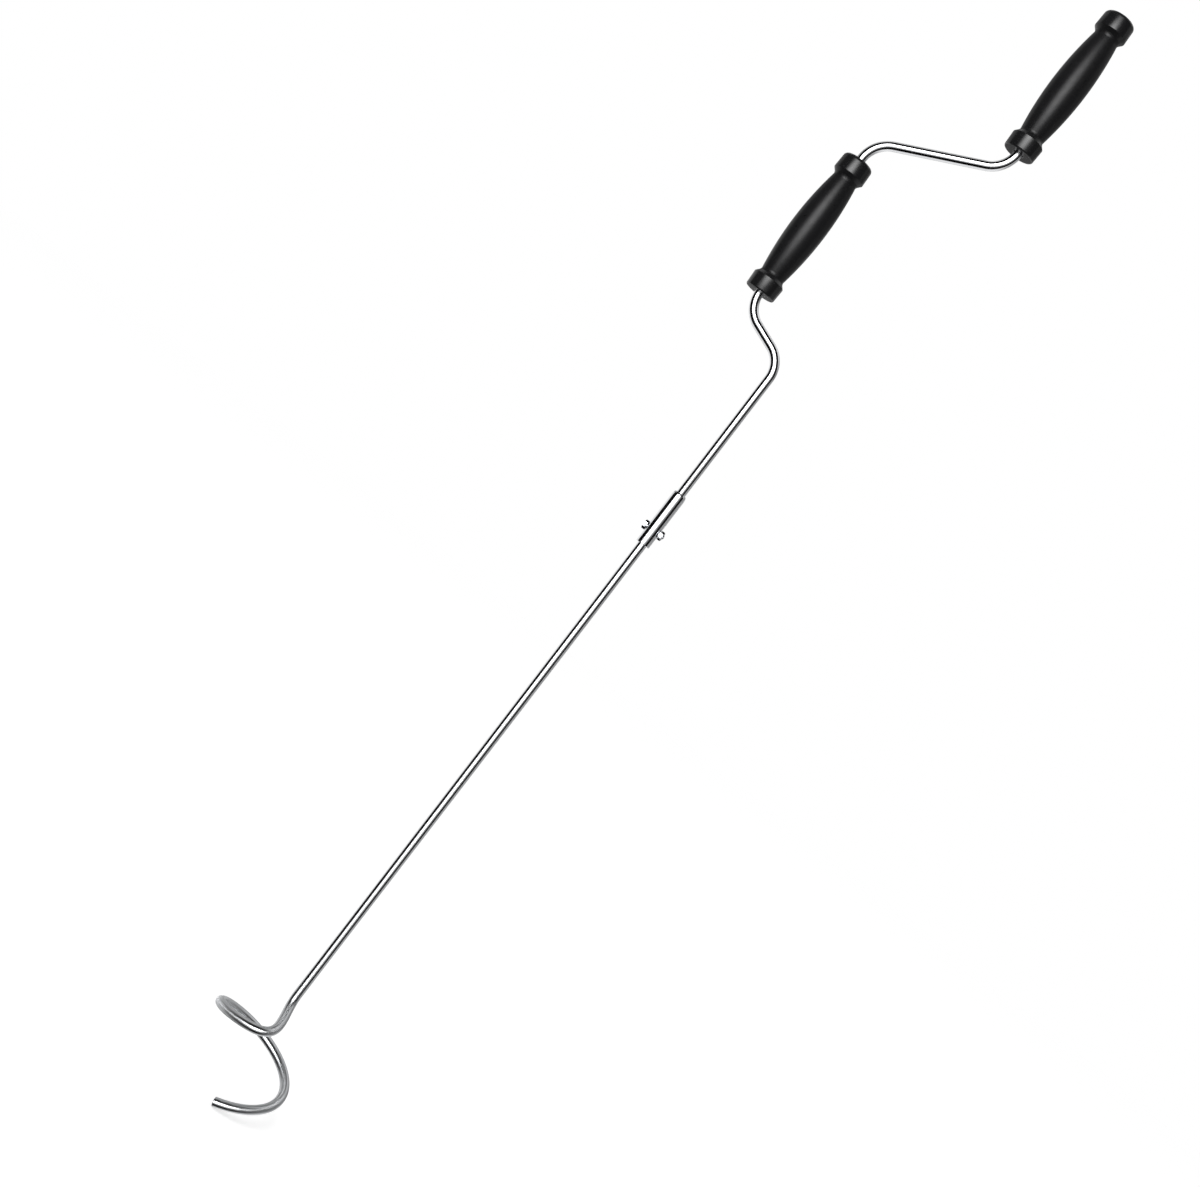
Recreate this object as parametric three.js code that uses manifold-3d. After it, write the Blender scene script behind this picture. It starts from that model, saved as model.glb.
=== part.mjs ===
// Hand-cranked compost aerator: a bent bar with a corkscrew at its foot and a
// double crank with two free-spinning grips at its head, joined by a bolted sleeve.
// Millimetres, +Z up along the shaft, origin on the shaft's axis at the lowest
// level of the corkscrew, the crank in the XZ plane with the upper grip at +X.

import * as THREE from 'three';
import { mergeVertices } from 'three/addons/utils/BufferGeometryUtils.js';
import Module from 'manifold-3d';

const wasm = await Module();
wasm.setup();

// Bar stock, and the gap to what it passes through or carries
const rodRadius = 4;
const rodEndChamfer = 0.5;
const rodClearance = 0.3;
const seatGap = 0.3;

// Corkscrew, wound right-handed from its top down to the tip
const coilTopRadius = 48.5;
const coilTipRadius = 36.5;
const coilPitch = 71.5;
const coilTurn = THREE.MathUtils.degToRad(338);
const coilTopAngle = THREE.MathUtils.degToRad(-102);
const runOutRise = 28;
const runOutShaftPull = 24;
const runOutCoilPull = 40;

// Straight lengths of the shaft, between its run-out bend and the crank
const shaftLength = 455.5;
const sleeveLength = 50;
const stemLength = 130;

// Double crank
const crankThrow = 48.75;
const armSlope = THREE.MathUtils.degToRad(22.2);
const bendRadius = 24;
const gripEndPlay = 2.6;

// Coupling sleeve
const sleeveWall = 1.7;
const sleeveMouthChamfer = 0.4;
const swageLength = 4.5;
const swageLipWall = 0.7;
const socketDepth = 30;
const rodButtGap = 1;

// Coupling bolt and nut
const boltHeight = 14;
const boltShankRadius = 2;
const boltHoleClearance = 0.3;
const boltEndLength = 1;
const hexAcrossFlats = 7;
const hexEdgeChamfer = 0.35;
const boltHeadHeight = 2.8;
const nutHeight = 3.2;

// Moulded grips
const gripLength = 130;
const gripBoreClearance = 0.35;
const gripBoreMouth = 0.9;
const gripSeatDepth = 0.8;
const collarRadius = 13.85;
const collarDraft = 0.55;
const footCollarLength = 12.4;
const headCollarLength = 14.2;
const collarEdgeRound = 0.6;
const shoulderLength = 3;
const neckRadius = 10.25;
const neckFillet = 1;
const bellyRadius = 14.6;
const footRimRound = 1.4;
const headRimRound = 3.2;
const headPocketRadius = 6.75;
const headPocketDepth = 7.5;

// Washer and push-on cap that keep the upper grip on the bar
const washerRadius = 6.2;
const washerThickness = 1;
const capRadius = 5.9;
const capHeight = 5;
const capRoof = 1.1;
const capRimRound = 2.2;

// One overrun for every cut, and the fineness of round surfaces
const cutOverrun = 2;
const rodSides = 20;
const coilSteps = 44;
const runOutSteps = 16;
const bendSteps = 9;
const gripSides = 40;
const fittingSides = 28;
const shankSides = 16;
const bellySteps = 20;
const roundSteps = 4;

// Levels along the shaft, all worked out from the lengths above
const tipLevel = rodRadius;
const coilTopLevel = tipLevel + coilPitch * coilTurn / (2 * Math.PI);
const shaftFootLevel = coilTopLevel + runOutRise;
const sleeveFootLevel = shaftFootLevel + shaftLength;
const sleeveHeadLevel = sleeveFootLevel + sleeveLength;
const augerHeadLevel = sleeveFootLevel + socketDepth;
const crankFootLevel = augerHeadLevel + rodButtGap;
const boltLevel = sleeveFootLevel + boltHeight;
const armRise = crankThrow * Math.tan(armSlope);
const bendTangent = bendRadius * Math.tan((Math.PI / 2 - armSlope) / 2);
const lowerBendLevel = sleeveHeadLevel + stemLength;
const lowerArmEndLevel = lowerBendLevel + armRise;
const lowerGripLevel = lowerArmEndLevel + bendTangent - gripSeatDepth;
const upperArmStartLevel = lowerGripLevel + gripLength + gripEndPlay + bendTangent;
const upperArmEndLevel = upperArmStartLevel + 2 * armRise;
const upperGripLevel = upperArmEndLevel + bendTangent - gripSeatDepth;
const pocketFloorLevel = upperGripLevel + gripLength - headPocketDepth;
const washerLevel = pocketFloorLevel + seatGap;
const capLevel = washerLevel + washerThickness + seatGap;
const crankHeadLevel = capLevel + capHeight - capRoof - rodClearance;
const sleeveBore = rodRadius + rodClearance;
const sleeveRadius = sleeveBore + sleeveWall;
const gripBore = rodRadius + gripBoreClearance;

const chromedSteel = { color: 0xd4d6d8, metalness: 1, roughness: 0.12 };
const zincPlatedSteel = { color: 0xc4c7ca, metalness: 1, roughness: 0.28 };
const blackPlastic = { color: 0x1d1d1e, metalness: 0, roughness: 0.45 };

// A descending helix whose radius narrows evenly from its top to its tip
class NarrowingHelix extends THREE.Curve {
  getPoint(share, target = new THREE.Vector3()) {
    const angle = coilTopAngle - coilTurn * share;
    const radius = coilTopRadius + (coilTipRadius - coilTopRadius) * share;
    const level = coilTopLevel + (tipLevel - coilTopLevel) * share;
    return target.set(radius * Math.cos(angle), radius * Math.sin(angle), level);
  }
}

// The points of a route that turns each corner on an arc of the bend radius
function bentRoute(corners) {
  const route = [corners[0]];
  for (let i = 1; i < corners.length - 1; i += 1) {
    const corner = corners[i];
    const back = corners[i - 1].clone().sub(corner).normalize();
    const ahead = corners[i + 1].clone().sub(corner).normalize();
    const halfAngle = back.angleTo(ahead) / 2;
    const middle = back.clone().add(ahead).normalize();
    const centre = corner.clone().addScaledVector(middle, bendRadius / Math.sin(halfAngle));
    const reach = bendRadius / Math.tan(halfAngle);
    const start = corner.clone().addScaledVector(back, reach).sub(centre);
    const end = corner.clone().addScaledVector(ahead, reach).sub(centre);
    const axis = start.clone().cross(end).normalize();
    for (let step = 0; step <= bendSteps; step += 1) {
      const angle = start.angleTo(end) * step / bendSteps;
      route.push(start.clone().applyAxisAngle(axis, angle).add(centre));
    }
  }
  route.push(corners[corners.length - 1]);
  return route;
}

// A round bar along a route, closed by flat ends with a small chamfer
function bar(route) {
  const count = route.length;
  const tangents = route.map((point, i) => {
    const before = route[Math.max(i - 1, 0)];
    const after = route[Math.min(i + 1, count - 1)];
    const arriving = point.clone().sub(before).normalize();
    const leaving = after.clone().sub(point).normalize();
    return arriving.add(leaving).normalize();
  });
  const rings = route.map((point, i) => ({ point, tangent: tangents[i], radius: rodRadius }));
  const first = rings[0];
  const last = rings[count - 1];
  const headFace = { ...first, radius: rodRadius - rodEndChamfer };
  const footFace = { ...last, radius: rodRadius - rodEndChamfer };
  first.point = first.point.clone().addScaledVector(first.tangent, rodEndChamfer);
  last.point = last.point.clone().addScaledVector(last.tangent, -rodEndChamfer);
  rings.unshift(headFace);
  rings.push(footFace);

  const vertices = [];
  const triangles = [];
  const side = new THREE.Vector3(1, 0, 0);
  let heading = rings[0].tangent;
  for (const ring of rings) {
    side.applyQuaternion(new THREE.Quaternion().setFromUnitVectors(heading, ring.tangent));
    side.addScaledVector(ring.tangent, -side.dot(ring.tangent)).normalize();
    heading = ring.tangent;
    const across = ring.tangent.clone().cross(side);
    for (let k = 0; k < rodSides; k += 1) {
      const angle = 2 * Math.PI * k / rodSides;
      const vertex = ring.point.clone();
      vertex.addScaledVector(side, ring.radius * Math.cos(angle));
      vertex.addScaledVector(across, ring.radius * Math.sin(angle));
      vertices.push(...vertex);
    }
  }
  for (let i = 0; i < rings.length - 1; i += 1) {
    for (let k = 0; k < rodSides; k += 1) {
      const here = i * rodSides + k;
      const beside = i * rodSides + (k + 1) % rodSides;
      triangles.push(here, beside, here + rodSides);
      triangles.push(beside, beside + rodSides, here + rodSides);
    }
  }
  const lastRing = (rings.length - 1) * rodSides;
  for (let k = 1; k < rodSides - 1; k += 1) {
    triangles.push(0, k + 1, k);
    triangles.push(lastRing, lastRing + k, lastRing + k + 1);
  }
  const geometry = new THREE.BufferGeometry();
  geometry.setAttribute('position', new THREE.Float32BufferAttribute(vertices, 3));
  geometry.setIndex(triangles);
  return geometry;
}

// A solid turned about +Z from a closed outline of [radius, level] corners
function turned(outline, sides) {
  const points = outline.map(([radius, level]) => new THREE.Vector2(radius, level));
  points.push(points[0].clone());
  const geometry = new THREE.LatheGeometry(points, sides);
  geometry.rotateX(Math.PI / 2);
  return weld(geometry);
}

function weld(geometry) {
  geometry.deleteAttribute('normal');
  geometry.deleteAttribute('uv');
  return mergeVertices(geometry);
}

// The corners of a quarter round from one angle to another, for an outline
function roundCorner(radius, level, size, fromAngle, toAngle) {
  const corners = [];
  for (let step = 0; step <= roundSteps; step += 1) {
    const angle = fromAngle + (toAngle - fromAngle) * step / roundSteps;
    corners.push([radius + size * Math.cos(angle), level + size * Math.sin(angle)]);
  }
  return corners;
}

function solid(geometry) {
  const mesh = new wasm.Mesh({
    numProp: 3,
    vertProperties: new Float32Array(geometry.attributes.position.array),
    triVerts: new Uint32Array(geometry.index.array),
  });
  return new wasm.Manifold(mesh);
}

function geometryOf(manifold) {
  const mesh = manifold.getMesh();
  const geometry = new THREE.BufferGeometry();
  geometry.setAttribute('position', new THREE.BufferAttribute(mesh.vertProperties, 3));
  geometry.setIndex(new THREE.BufferAttribute(mesh.triVerts, 1));
  return geometry;
}

// A cylinder along the bolt's axis, which is +X, from one place to another
function crossCylinder(radius, from, to, sides) {
  const geometry = new THREE.CylinderGeometry(radius, radius, to - from, sides);
  geometry.rotateZ(-Math.PI / 2);
  geometry.translate((from + to) / 2, 0, boltLevel);
  return weld(geometry);
}

function boltHole() {
  const reach = sleeveRadius + cutOverrun;
  const radius = boltShankRadius + boltHoleClearance;
  return solid(crossCylinder(radius, -reach, reach, shankSides));
}

// A hexagon along +X, two of its flats facing front and back, chamfered where asked
function hexagon(from, to, chamferFrom, chamferTo) {
  const cornerRadius = hexAcrossFlats / 2 / Math.cos(Math.PI / 6);
  const body = crossCylinder(cornerRadius, from, to, 6);
  const flat = hexAcrossFlats / 2;
  const spread = cornerRadius - flat;
  const outline = [
    [0, from],
    [chamferFrom ? flat : cornerRadius + spread, from],
    [cornerRadius + spread, from + (chamferFrom ? 2 * hexEdgeChamfer : 0)],
    [cornerRadius + spread, to - (chamferTo ? 2 * hexEdgeChamfer : 0)],
    [chamferTo ? flat : cornerRadius + spread, to],
    [0, to],
  ];
  const cone = turned(outline, fittingSides);
  cone.rotateY(Math.PI / 2);
  cone.translate(0, 0, boltLevel);
  return solid(body).intersect(solid(cone));
}

function augerRod() {
  const coil = new NarrowingHelix();
  const coilTop = coil.getPoint(0);
  const coilTangent = coil.getTangent(0);
  const runOut = new THREE.CubicBezierCurve3(
    new THREE.Vector3(0, 0, shaftFootLevel),
    new THREE.Vector3(0, 0, shaftFootLevel - runOutShaftPull),
    coilTop.clone().addScaledVector(coilTangent, -runOutCoilPull),
    coilTop,
  );
  const head = new THREE.Vector3(0, 0, augerHeadLevel);
  const route = [head, ...runOut.getPoints(runOutSteps), ...coil.getPoints(coilSteps).slice(1)];
  return geometryOf(solid(bar(route)).subtract(boltHole()));
}

function crankRod() {
  const corners = [
    new THREE.Vector3(0, 0, crankHeadLevel),
    new THREE.Vector3(0, 0, upperArmEndLevel),
    new THREE.Vector3(-2 * crankThrow, 0, upperArmStartLevel),
    new THREE.Vector3(-2 * crankThrow, 0, lowerArmEndLevel),
    new THREE.Vector3(-crankThrow, 0, lowerBendLevel),
    new THREE.Vector3(-crankThrow, 0, crankFootLevel),
  ];
  return bar(bentRoute(corners)).translate(crankThrow, 0, 0);
}

// A tube with a chamfered mouth below and its head swaged in towards the crank bar
function couplingSleeve() {
  const lipRadius = sleeveBore + swageLipWall;
  const swageFootLevel = sleeveHeadLevel - swageLength;
  const swage = [];
  for (let step = 0; step <= roundSteps; step += 1) {
    const share = step / roundSteps;
    const inward = (1 - Math.cos(Math.PI * share / 2)) * (sleeveRadius - lipRadius);
    swage.push([sleeveRadius - inward, swageFootLevel + swageLength * share]);
  }
  const outline = [
    [sleeveBore, sleeveHeadLevel],
    [sleeveBore, sleeveFootLevel + sleeveMouthChamfer],
    [sleeveBore + sleeveMouthChamfer, sleeveFootLevel],
    [sleeveRadius - sleeveMouthChamfer, sleeveFootLevel],
    [sleeveRadius, sleeveFootLevel + sleeveMouthChamfer],
    ...swage,
  ];
  return geometryOf(solid(turned(outline, fittingSides)).subtract(boltHole()));
}

function couplingBolt() {
  const headSeat = -sleeveRadius - seatGap;
  const shankEnd = sleeveRadius + seatGap + nutHeight + boltEndLength;
  const head = hexagon(headSeat - boltHeadHeight, headSeat, true, false);
  const shank = crossCylinder(boltShankRadius, headSeat - boltHeadHeight / 2, shankEnd, shankSides);
  return geometryOf(head.add(solid(shank)));
}

function couplingNut() {
  const seat = sleeveRadius + seatGap;
  const body = hexagon(seat, seat + nutHeight, true, true);
  const threadRadius = boltShankRadius + boltHoleClearance;
  const reach = seat + nutHeight + cutOverrun;
  const thread = crossCylinder(threadRadius, seat - cutOverrun, reach, shankSides);
  return geometryOf(body.subtract(solid(thread)));
}

// One moulding serves both grips: a barrel between two drafted collars, bored right
// through, with a flared mouth at its foot and a round pocket in its head
function grip() {
  const rimRadius = collarRadius - collarDraft;
  const footNeckLevel = footCollarLength + shoulderLength;
  const headEdgeLevel = gripLength - headCollarLength;
  const headNeckLevel = headEdgeLevel - shoulderLength;
  const bellyLevel = (footNeckLevel + headNeckLevel) / 2;
  const halfBelly = bellyLevel - footNeckLevel - neckFillet;
  const bellyRise = bellyRadius - neckRadius;
  const bellyArc = (halfBelly ** 2 + bellyRise ** 2) / (2 * bellyRise);
  const belly = [];
  for (let step = 0; step <= bellySteps; step += 1) {
    const along = halfBelly * (2 * step / bellySteps - 1);
    const drop = bellyArc - Math.sqrt(bellyArc ** 2 - along ** 2);
    belly.push([bellyRadius - drop, bellyLevel + along]);
  }
  const outline = [
    [gripBore, gripLength - headPocketDepth],
    [gripBore, gripBoreMouth],
    [gripBore + gripBoreMouth, 0],
    ...roundCorner(rimRadius - footRimRound, footRimRound, footRimRound, -Math.PI / 2, 0),
    [collarRadius, footCollarLength - collarEdgeRound],
    [collarRadius - collarEdgeRound, footCollarLength],
    [neckRadius + neckFillet, footNeckLevel],
    ...belly,
    [neckRadius + neckFillet, headNeckLevel],
    [collarRadius - collarEdgeRound, headEdgeLevel],
    [collarRadius, headEdgeLevel + collarEdgeRound],
    ...roundCorner(rimRadius - headRimRound, gripLength - headRimRound, headRimRound, 0, Math.PI / 2),
    [headPocketRadius, gripLength],
    [headPocketRadius, gripLength - headPocketDepth],
  ];
  return turned(outline, gripSides);
}

function thrustWasher() {
  const bore = rodRadius + rodClearance;
  return turned([
    [bore, washerLevel + washerThickness],
    [bore, washerLevel],
    [washerRadius, washerLevel],
    [washerRadius, washerLevel + washerThickness],
  ], fittingSides);
}

// A domed cap with a blind bore that grips the end of the bar
function pushCap() {
  const bore = rodRadius + rodClearance;
  const top = capLevel + capHeight;
  return turned([
    [0, top - capRoof],
    [bore, top - capRoof],
    [bore, capLevel],
    [capRadius, capLevel],
    ...roundCorner(capRadius - capRimRound, top - capRimRound, capRimRound, 0, Math.PI / 2),
    [0, top],
  ], fittingSides);
}

const aerator = new THREE.Group();

function place(parent, name, geometry, finish) {
  const mesh = new THREE.Mesh(geometry, new THREE.MeshStandardMaterial(finish));
  mesh.name = name;
  parent.add(mesh);
  return mesh;
}

place(aerator, 'auger_rod', augerRod(), chromedSteel);

const coupling = new THREE.Group();
aerator.add(coupling);
place(coupling, 'coupling_sleeve', couplingSleeve(), chromedSteel);
place(coupling, 'coupling_bolt', couplingBolt(), zincPlatedSteel);
place(coupling, 'coupling_nut', couplingNut(), zincPlatedSteel);

const crank = new THREE.Group();
aerator.add(crank);
place(crank, 'crank_rod', crankRod(), chromedSteel);
const lowerGrip = place(crank, 'lower_grip', grip(), blackPlastic);
lowerGrip.position.set(-crankThrow, 0, lowerGripLevel);

const crankHead = new THREE.Group();
crankHead.position.set(crankThrow, 0, 0);
crank.add(crankHead);
const upperGrip = place(crankHead, 'upper_grip', grip(), blackPlastic);
upperGrip.position.set(0, 0, upperGripLevel);
place(crankHead, 'thrust_washer', thrustWasher(), zincPlatedSteel);
place(crankHead, 'push_cap', pushCap(), zincPlatedSteel);

export default aerator;
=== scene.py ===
import math

import bpy
from bpy.props import FloatProperty, FloatVectorProperty, IntProperty, PointerProperty
from mathutils import Matrix, Vector
from mathutils.kdtree import KDTree


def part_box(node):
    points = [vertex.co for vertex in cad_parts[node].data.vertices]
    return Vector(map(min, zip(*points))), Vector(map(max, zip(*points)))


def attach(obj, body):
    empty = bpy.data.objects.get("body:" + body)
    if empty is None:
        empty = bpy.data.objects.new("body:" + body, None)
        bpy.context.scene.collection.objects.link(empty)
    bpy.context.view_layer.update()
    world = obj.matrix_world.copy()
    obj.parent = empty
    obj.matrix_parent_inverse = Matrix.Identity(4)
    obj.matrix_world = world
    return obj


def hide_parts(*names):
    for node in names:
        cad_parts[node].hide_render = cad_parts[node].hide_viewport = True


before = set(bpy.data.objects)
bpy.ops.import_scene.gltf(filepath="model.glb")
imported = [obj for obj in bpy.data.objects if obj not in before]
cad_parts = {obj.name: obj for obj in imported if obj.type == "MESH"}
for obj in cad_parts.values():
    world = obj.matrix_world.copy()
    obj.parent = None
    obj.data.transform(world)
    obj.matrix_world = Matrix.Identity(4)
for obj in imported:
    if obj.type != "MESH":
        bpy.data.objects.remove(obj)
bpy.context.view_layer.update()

bl_info = {
    "name": "Compost Aerator",
    "version": (1, 0, 0),
    "blender": (4, 5, 0),
    "location": "View3D > Sidebar > Aerator",
    "description": "Dresses a hand-cranked corkscrew compost aerator around its packed frame",
    "category": "Object",
}

MILLIMETRE = 0.001
WHOLE_TURN = 2 * math.pi
WHITE = (1, 1, 1, 1)
FITTING_SIDES = 72
SHANK_SIDES = 48

# Points nearer to each other than this are welded into one, more freely after a cut
WELD_REACH = 0.001 * MILLIMETRE
CUT_WELD_REACH = 0.003 * MILLIMETRE
# How far the thread's crests lie inside the bolt's radius, and the nut's bore outside it
CREST_GAP = 0.02 * MILLIMETRE

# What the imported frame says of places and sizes
AUGER_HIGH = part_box("auger_rod")[1]
CRANK_LOW, CRANK_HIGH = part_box("crank_rod")
SLEEVE_LOW, SLEEVE_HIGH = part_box("coupling_sleeve")
BOLT_LOW, BOLT_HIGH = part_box("coupling_bolt")
NUT_LOW, NUT_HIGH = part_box("coupling_nut")
LOWER_GRIP_LOW, LOWER_GRIP_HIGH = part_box("lower_grip")
UPPER_GRIP_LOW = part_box("upper_grip")[0]
WASHER_LOW, WASHER_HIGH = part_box("thrust_washer")
CAP_LOW, CAP_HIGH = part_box("push_cap")
BAR_RADIUS = CRANK_HIGH.y
CRANK_THROW = CRANK_HIGH.x - BAR_RADIUS
BOLT_LEVEL = (BOLT_LOW.z + BOLT_HIGH.z) / 2


def linear_colour(code):
    """An sRGB hex colour as the linear red, green and blue that Blender works in."""
    channels = []
    for start in (0, 2, 4):
        share = int(code[start:start + 2], 16) / 255
        low = share / 12.92
        high = ((share + 0.055) / 1.055) ** 2.4
        channels.append(low if share <= 0.04045 else high)
    return tuple(channels)


def a_length(name, description, default):
    """A setting in metres."""
    return FloatProperty(name=name, description=description, default=default, unit="LENGTH")


def an_angle(name, description, degrees):
    """A setting in degrees, which Blender keeps in radians."""
    return FloatProperty(
        name=name, description=description, default=math.radians(degrees), subtype="ANGLE")


def a_colour(name, description, code):
    """A colour setting, from an sRGB hex colour."""
    return FloatVectorProperty(
        name=name, description=description, default=linear_colour(code), subtype="COLOR",
        min=0, max=1)


class BarSettings(bpy.types.PropertyGroup):
    radius: a_length("Bar Radius", "Radius of the round steel bar", BAR_RADIUS)
    end_bevel: a_length("End Bevel", "Width of the bevel round each cut end", 0.0005)
    sides: IntProperty(
        name="Sides", description="Faces around the bar", default=56, min=12)
    bend_steps: IntProperty(
        name="Bend Steps", description="Steps round each bend of the crank", default=28, min=4)


class CorkscrewSettings(bpy.types.PropertyGroup):
    top_radius: a_length("Top Radius", "Radius of the winding where it starts at the shaft", 0.0485)
    tip_radius: a_length("Tip Radius", "Radius of the winding at its tip", 0.0365)
    pitch: a_length("Pitch", "Drop of one whole turn", 0.0715)
    turn: an_angle("Turn", "How far the bar winds round", 338)
    top_angle: an_angle("Top Angle", "Where round the shaft the winding starts", -102)
    run_out_rise: a_length(
        "Run-out Rise", "Height of the bend from the winding up to the shaft", 0.028)
    shaft_pull: a_length(
        "Shaft Pull", "How far the run-out bend holds the shaft's direction", 0.024)
    coil_pull: a_length("Coil Pull", "How far the run-out bend holds the winding's direction", 0.04)
    coil_steps: IntProperty(
        name="Coil Steps", description="Steps along the winding", default=132, min=12)
    run_out_steps: IntProperty(
        name="Run-out Steps", description="Steps along the run-out bend", default=44, min=8)


class CrankSettings(bpy.types.PropertyGroup):
    stem: a_length("Stem", "From the sleeve's head to the crank's first corner", 0.13)
    arm_slope: an_angle("Arm Slope", "Rise of both arms above level", 22.2)
    bend_radius: a_length("Bend Radius", "Radius of the bar's middle line in each bend", 0.024)
    grip_end_play: a_length("Grip End Play", "Free length beside the lower grip", 0.0026)


class CouplingSettings(bpy.types.PropertyGroup):
    bore_radius: a_length("Sleeve Bore", "Radius of the sleeve's bore", 0.0043)
    mouth_round: a_length("Mouth Round", "Rounding of the sleeve's cut foot", 0.0004)
    neck_length: a_length("Neck Length", "Length of the sleeve's swaged head", 0.0045)
    lip_wall: a_length("Lip Wall", "Wall that is left at the swaged lip", 0.0007)
    lip_height: a_length("Lip Height", "Length of the steep end of the swaged head", 0.0016)
    lip_fall: a_length("Lip Fall", "How far the steep end closes in on the bar", 0.0008)
    bolt_radius: a_length("Bolt Radius", "Radius of the bolt's thread crests", 0.002)
    thread_pitch: a_length("Thread Pitch", "Pitch of the bolt's coarse thread", 0.0009)
    thread_length: a_length("Thread Length", "Threaded length at the bolt's end", 0.009)
    hole_clearance: a_length("Hole Clearance", "Gap between the bolt and its hole", 0.0003)
    across_flats: a_length("Across Flats", "Width of the bolt's head and the nut", 0.007)
    head_height: a_length("Head Height", "Height of the bolt's head", 0.0028)


class GripSettings(bpy.types.PropertyGroup):
    bore_radius: a_length("Bore", "Radius of the bore that turns on the bar", 0.00435)
    bore_mouth: a_length("Bore Mouth", "Flare of the bore at the foot", 0.0009)
    collar_radius: a_length("Collar Radius", "Radius of both collars at the barrel's side", 0.01385)
    collar_draft: a_length("Collar Draft", "How much a collar narrows towards its end", 0.00055)
    foot_collar: a_length("Foot Collar", "Length of the collar at the foot", 0.0124)
    head_collar: a_length("Head Collar", "Length of the collar at the head", 0.0142)
    shoulder: a_length("Shoulder", "Length of the slope from a collar to the barrel's neck", 0.003)
    neck_radius: a_length("Neck Radius", "Radius of the barrel at its ends", 0.01025)
    neck_fillet: a_length("Neck Fillet", "Rounding where the barrel meets a shoulder", 0.001)
    edge_round: a_length("Edge Round", "Rounding of a collar's edge at the barrel's side", 0.0007)
    foot_round: a_length("Foot Round", "Rounding of the rim at the foot", 0.0014)
    head_round: a_length("Head Round", "Rounding of the rim at the head", 0.0032)
    pocket_radius: a_length("Pocket Radius", "Radius of the pocket in the head", 0.00675)
    pocket_depth: a_length("Pocket Depth", "Depth of the pocket in the head", 0.0075)
    sides: IntProperty(
        name="Sides", description="Faces around a grip", default=112, min=24)


class RetainerSettings(bpy.types.PropertyGroup):
    bore_radius: a_length("Bore", "Radius of the washer's and the cap's bore", 0.0043)
    cap_roof: a_length("Cap Roof", "Thickness of the cap's domed top", 0.0011)
    cap_round: a_length("Cap Round", "Rounding of the cap's shoulder", 0.0022)


class FinishSettings(bpy.types.PropertyGroup):
    chrome: a_colour("Chrome", "Colour of the chrome plate on the bars and sleeve", "e2e3e5")
    # Below the wear level the chrome is greyer, partly from scouring and partly as painted shade for
    # darker reflections
    worn_chrome: a_colour(
        "Worn Chrome", "Colour of the plate where the compost has dulled it", "cfd1d3")
    wear_level: a_length("Wear Level", "Level up to which the compost has dulled the plate", 0.118)
    zinc: a_colour("Zinc", "Colour of the zinc plate on bolt, nut, washer and cap", "c8cacd")
    plastic: a_colour("Plastic", "Colour of the moulded grips", "1b1b1c")


class StageSettings(bpy.types.PropertyGroup):
    azimuth: an_angle("Azimuth", "Camera's angle round the shaft from the front", 12.25)
    elevation: an_angle("Elevation", "Camera's angle above level", 1.97)
    roll: an_angle("Roll", "How far the tool leans over in the picture", -37.42)
    distance: a_length("Distance", "From the camera to the point that it turns about", 1.36945)
    aim_side: a_length("Aim Side", "Sideways place of the picture's centre", -0.00292)
    aim_level: a_length("Aim Level", "Level of the picture's centre on the shaft", 0.50307)
    lens: FloatProperty(
        name="Lens", description="Focal length in millimetres for a 36 mm wide sensor",
        default=51.68)
    floor_colour: a_colour("Floor", "Colour of the studio floor", "d0d0d0")


GROUPS = {
    "aerator_bar": BarSettings,
    "aerator_corkscrew": CorkscrewSettings,
    "aerator_crank": CrankSettings,
    "aerator_coupling": CouplingSettings,
    "aerator_grip": GripSettings,
    "aerator_retainer": RetainerSettings,
    "aerator_finish": FinishSettings,
    "aerator_stage": StageSettings,
}


# Modelling by hand, one step at a time

def select_only(piece):
    """Selects one object and makes it the active one."""
    bpy.ops.object.select_all(action="DESELECT")
    piece.select_set(True)
    bpy.context.view_layer.objects.active = piece


def open_piece(name):
    """Names the new object and opens its mesh in edit mode with all of it selected."""
    piece = bpy.context.object
    piece.name = name
    piece.data.name = name
    bpy.ops.object.transform_apply(location=True, rotation=True, scale=True)
    bpy.ops.object.mode_set(mode="EDIT")
    bpy.ops.mesh.select_mode(type="VERT")
    bpy.ops.mesh.select_all(action="SELECT")
    return piece


def start_ring(name, centre, radius, sides):
    """Adds a circle at its place and opens it in edit mode with the whole ring selected."""
    bpy.ops.object.select_all(action="DESELECT")
    bpy.ops.mesh.primitive_circle_add(vertices=sides, radius=radius, location=centre)
    return open_piece(name)


def start_point(name, place):
    """Adds a small plane, merges it into one point and opens it in edit mode."""
    bpy.ops.object.select_all(action="DESELECT")
    bpy.ops.mesh.primitive_plane_add(size=MILLIMETRE, location=place)
    piece = open_piece(name)
    bpy.ops.mesh.merge(type="CENTER")
    return piece


def extrude(step):
    """Extrudes what is selected by one step."""
    bpy.ops.mesh.extrude_region_move(TRANSFORM_OT_translate={"value": step})


def weld(reach):
    """Merges all points that lie within reach of each other."""
    bpy.ops.mesh.select_all(action="SELECT")
    bpy.ops.mesh.remove_doubles(threshold=reach)


def face_outwards():
    """Turns every face of a closed mesh outwards."""
    bpy.ops.mesh.select_all(action="SELECT")
    bpy.ops.mesh.normals_make_consistent(inside=False)


def bends(corners, radius):
    """The start, end, centre, axis and turn of the arc that rounds off each corner of a bar."""
    arcs = []
    for before, corner, after in zip(corners, corners[1:], corners[2:]):
        arriving = (corner - before).normalized()
        leaving = (after - corner).normalized()
        turn = arriving.angle(leaving)
        reach = radius * math.tan(turn / 2)
        axis = arriving.cross(leaving).normalized()
        start = corner - arriving * reach
        centre = start + axis.cross(arriving) * radius
        arcs.append((start, corner + leaving * reach, centre, axis, turn))
    return arcs


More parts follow.
